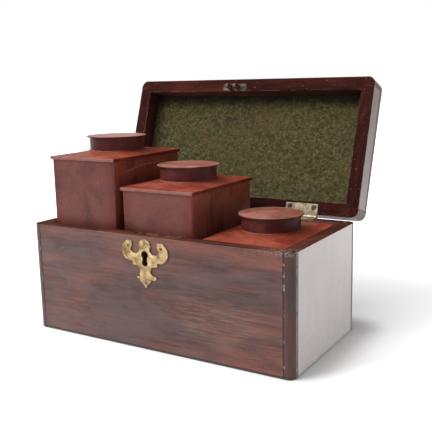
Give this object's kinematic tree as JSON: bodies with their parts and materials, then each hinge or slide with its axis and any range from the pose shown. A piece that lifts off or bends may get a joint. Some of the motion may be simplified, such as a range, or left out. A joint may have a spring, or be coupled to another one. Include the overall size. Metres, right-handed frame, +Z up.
{
  "type": "tea chest",
  "caption": "Rectangular mahogany tea chest with a hinged, baize-lined lid, a box lock with a fretted brass key plate, and lift-out tin canisters with slip-on caps.",
  "frame": {"origin": "middle of the underside of the chest, on the surface that it stands on", "axes": "+X along the front from left to right, +Y from the front to the back, +Z up; at rest the lid stands open and two canisters are raised, as in the picture"},
  "size_m": [0.254, 0.1951, 0.2183],
  "materials": {
    "mahogany": "old polished mahogany",
    "mahogany_strip": "old polished mahogany, quarter-round strip",
    "plain_board": "plain board, unpolished",
    "canister_paint": "worn red paint on tin",
    "cap_paint": "worn red paint on tin",
    "brass": "aged brass sheet",
    "hinge_brass": "aged brass",
    "old_brass": "dull dark brass",
    "iron_screw": "dark iron",
    "lock_steel": "dull steel",
    "baize": "worn green baize"
  },
  "bodies": {
    "carcass": {"back_panel": "mahogany", "base_board": "plain_board", "carcass_strip_back_left": "mahogany_strip", "carcass_strip_back_right": "mahogany_strip", "carcass_strip_front_left": "mahogany_strip", "carcass_strip_front_right": "mahogany_strip", "front_panel": "mahogany", "key_plate": "brass", "key_plate_nails": "brass", "left_divider": "plain_board", "left_hinge_carcass_leaf": "hinge_brass", "left_hinge_carcass_screws": "iron_screw", "left_hinge_pin": "hinge_brass", "left_side": "mahogany", "lock_case": "old_brass", "lock_key_pin": "lock_steel", "lock_screws": "iron_screw", "lock_spring": "lock_steel", "right_divider": "plain_board", "right_hinge_carcass_leaf": "hinge_brass", "right_hinge_carcass_screws": "iron_screw", "right_hinge_pin": "hinge_brass", "right_side": "mahogany"},
    "lid": {"keep_plate": "old_brass", "keep_screws": "iron_screw", "left_hinge_lid_leaf": "hinge_brass", "left_hinge_lid_screws": "iron_screw", "lid_back_rail": "mahogany", "lid_board": "mahogany", "lid_front_rail": "mahogany", "lid_left_rail": "mahogany", "lid_lining": "baize", "lid_right_rail": "mahogany", "lid_strip_back_left": "mahogany_strip", "lid_strip_back_right": "mahogany_strip", "lid_strip_front_left": "mahogany_strip", "lid_strip_front_right": "mahogany_strip", "right_hinge_lid_leaf": "hinge_brass", "right_hinge_lid_screws": "iron_screw"},
    "bolt": {"lock_bolt": "lock_steel"},
    "left_canister": {"left_canister_base": "canister_paint", "left_canister_body": "canister_paint", "left_canister_collar": "canister_paint", "left_canister_top": "canister_paint"},
    "middle_canister": {"middle_canister_base": "canister_paint", "middle_canister_body": "canister_paint", "middle_canister_collar": "canister_paint", "middle_canister_top": "canister_paint"},
    "right_canister": {"right_canister_base": "canister_paint", "right_canister_body": "canister_paint", "right_canister_collar": "canister_paint", "right_canister_top": "canister_paint"},
    "left_cap": {"left_canister_cap": "cap_paint"},
    "middle_cap": {"middle_canister_cap": "cap_paint"},
    "right_cap": {"right_canister_cap": "cap_paint"}
  },
  "joints": [
    {"name": "lid_hinge", "type": "hinge", "parent": "carcass", "child": "lid", "pos_m": [0, 0.0658, 0.0961], "axis": [-1, 0, 0], "range_deg": [-109, 0]},
    {"name": "left_canister_lift", "type": "slide", "parent": "carcass", "child": "left_canister", "axis": [0, 0, 1], "range_m": [-0.0597, 0.0313]},
    {"name": "middle_canister_lift", "type": "slide", "parent": "carcass", "child": "middle_canister", "axis": [0, 0, 1], "range_m": [-0.0367, 0.0543]},
    {"name": "right_canister_lift", "type": "slide", "parent": "carcass", "child": "right_canister", "axis": [0, 0, 1], "range_m": [0, 0.091]},
    {"name": "left_cap_lift", "type": "slide", "parent": "left_canister", "child": "left_cap", "axis": [0, 0, 1], "range_m": [0, 0.014]},
    {"name": "middle_cap_lift", "type": "slide", "parent": "middle_canister", "child": "middle_cap", "axis": [0, 0, 1], "range_m": [0, 0.014]},
    {"name": "right_cap_lift", "type": "slide", "parent": "right_canister", "child": "right_cap", "axis": [0, 0, 1], "range_m": [0, 0.014]},
    {"name": "bolt_slide", "type": "slide", "parent": "carcass", "child": "bolt", "axis": [1, 0, 0], "range_m": [-0.0034, 0]}
  ],
  "couplings": [
    {"joint": "left_canister_lift", "follows": "lid_hinge", "m_per_rad": 0.031381},
    {"joint": "middle_canister_lift", "follows": "lid_hinge", "m_per_rad": 0.019291}
  ]
}
